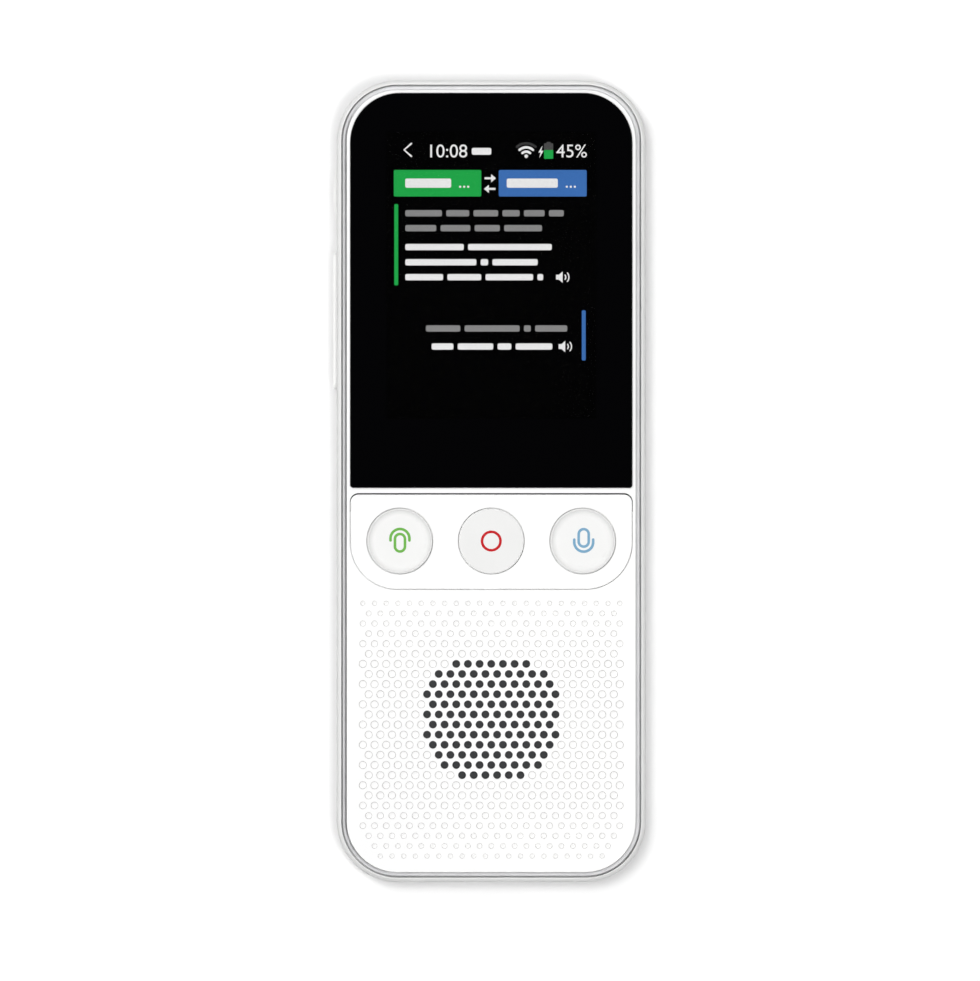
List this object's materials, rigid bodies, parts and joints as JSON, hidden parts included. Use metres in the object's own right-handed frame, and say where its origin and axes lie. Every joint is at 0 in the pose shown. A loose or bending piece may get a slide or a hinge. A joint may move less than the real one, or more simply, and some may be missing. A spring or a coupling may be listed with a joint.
{
  "type": "handheld translator",
  "caption": "Slim upright handheld voice translator: white housing, tall black cover glass over a colour display, round face keys, a dotted loudspeaker face and sprung side keys.",
  "frame": {"origin": "middle of the flat back face, on which the part lies", "axes": "+X right side seen from the front, +Y towards the top end, +Z out of the display"},
  "size_m": [0.0546, 0.14, 0.0125],
  "materials": {
    "white_abs": "white moulded ABS with a fine satin surface",
    "silver_trim": "satin silver, evenly blasted",
    "cover_glass": "polished glass with a black printed border",
    "display_glass": "dark liquid crystal cell",
    "touch_film": "clear conductive film",
    "foam_tape": "black closed-cell foam tape",
    "key_plastic": "white moulded plastic with a soft shine",
    "silicone": "matt grey silicone rubber",
    "pressed_steel": "bright rolled steel sheet",
    "circuit_board": "green solder mask over glass laminate",
    "chip_resin": "black moulded resin",
    "battery_pouch": "laminated foil pouch",
    "polyimide": "amber polyimide film over copper",
    "speaker_film": "black pressed polymer film",
    "magnet": "dark plated magnet and its cup",
    "acoustic_mesh": "black woven polyester mesh",
    "wire_sleeve": "black insulated wire",
    "antenna_brass": "gold-flashed foil antenna"
  },
  "bodies": {
    "body": {"rear_housing": "white_abs", "trim_frame": "silver_trim", "front_housing": "white_abs", "cover_glass": "cover_glass", "glass_adhesive": "foam_tape", "touch_sensor": "touch_film", "touch_ribbon": "polyimide", "display_cell": "display_glass", "backlight_tray": "pressed_steel", "display_ribbon": "polyimide", "key_panel": "white_abs", "panel_tape": "foam_tape", "key_mat": "silicone", "left_dome": "pressed_steel", "record_dome": "pressed_steel", "right_dome": "pressed_steel", "side_key_bracket": "pressed_steel", "side_key_flex": "polyimide", "power_dome": "pressed_steel", "volume_up_dome": "pressed_steel", "volume_down_dome": "pressed_steel", "main_board": "circuit_board", "board_chips": "chip_resin", "shield_cans": "pressed_steel", "board_connectors": "chip_resin", "board_screws": "pressed_steel", "battery_cell": "battery_pouch", "battery_tape": "foam_tape", "battery_lead": "polyimide", "speaker_frame": "pressed_steel", "speaker_cone": "speaker_film", "speaker_magnet": "magnet", "speaker_gasket": "foam_tape", "speaker_mesh": "acoustic_mesh", "speaker_leads": "wire_sleeve", "port_board": "circuit_board", "port_shell": "pressed_steel", "port_tongue": "chip_resin", "board_link": "polyimide", "microphones": "pressed_steel", "mic_boots": "silicone", "wifi_antenna": "antenna_brass"},
    "left_key_body": {"left_key": "key_plastic"},
    "record_key_body": {"record_key": "key_plastic"},
    "right_key_body": {"right_key": "key_plastic"},
    "power_key_body": {"power_key": "white_abs"},
    "volume_rocker_body": {"volume_rocker": "white_abs"}
  },
  "joints": [
    {"name": "left_key_press", "type": "slide", "parent": "body", "child": "left_key_body", "axis": [0, 0, -1], "range_m": [0, 0.0003], "stiffness_N_per_m": 5000, "deforming": ["left_dome", "key_mat"]},
    {"name": "record_key_press", "type": "slide", "parent": "body", "child": "record_key_body", "axis": [0, 0, -1], "range_m": [0, 0.0003], "stiffness_N_per_m": 5000, "deforming": ["record_dome", "key_mat"]},
    {"name": "right_key_press", "type": "slide", "parent": "body", "child": "right_key_body", "axis": [0, 0, -1], "range_m": [0, 0.0003], "stiffness_N_per_m": 5000, "deforming": ["right_dome", "key_mat"]},
    {"name": "power_key_press", "type": "slide", "parent": "body", "child": "power_key_body", "axis": [1, 0, 0], "range_m": [0, 0.00025], "stiffness_N_per_m": 5000, "deforming": ["power_dome"]},
    {"name": "volume_rocker_tilt", "type": "hinge", "parent": "body", "child": "volume_rocker_body", "pos_m": [-0.02442, 0.028, 0.0064], "axis": [0, 0, 1], "range_deg": [-1.3, 1.3], "stiffness_Nm_per_rad": 0.4, "deforming": ["volume_up_dome", "volume_down_dome"]}
  ]
}
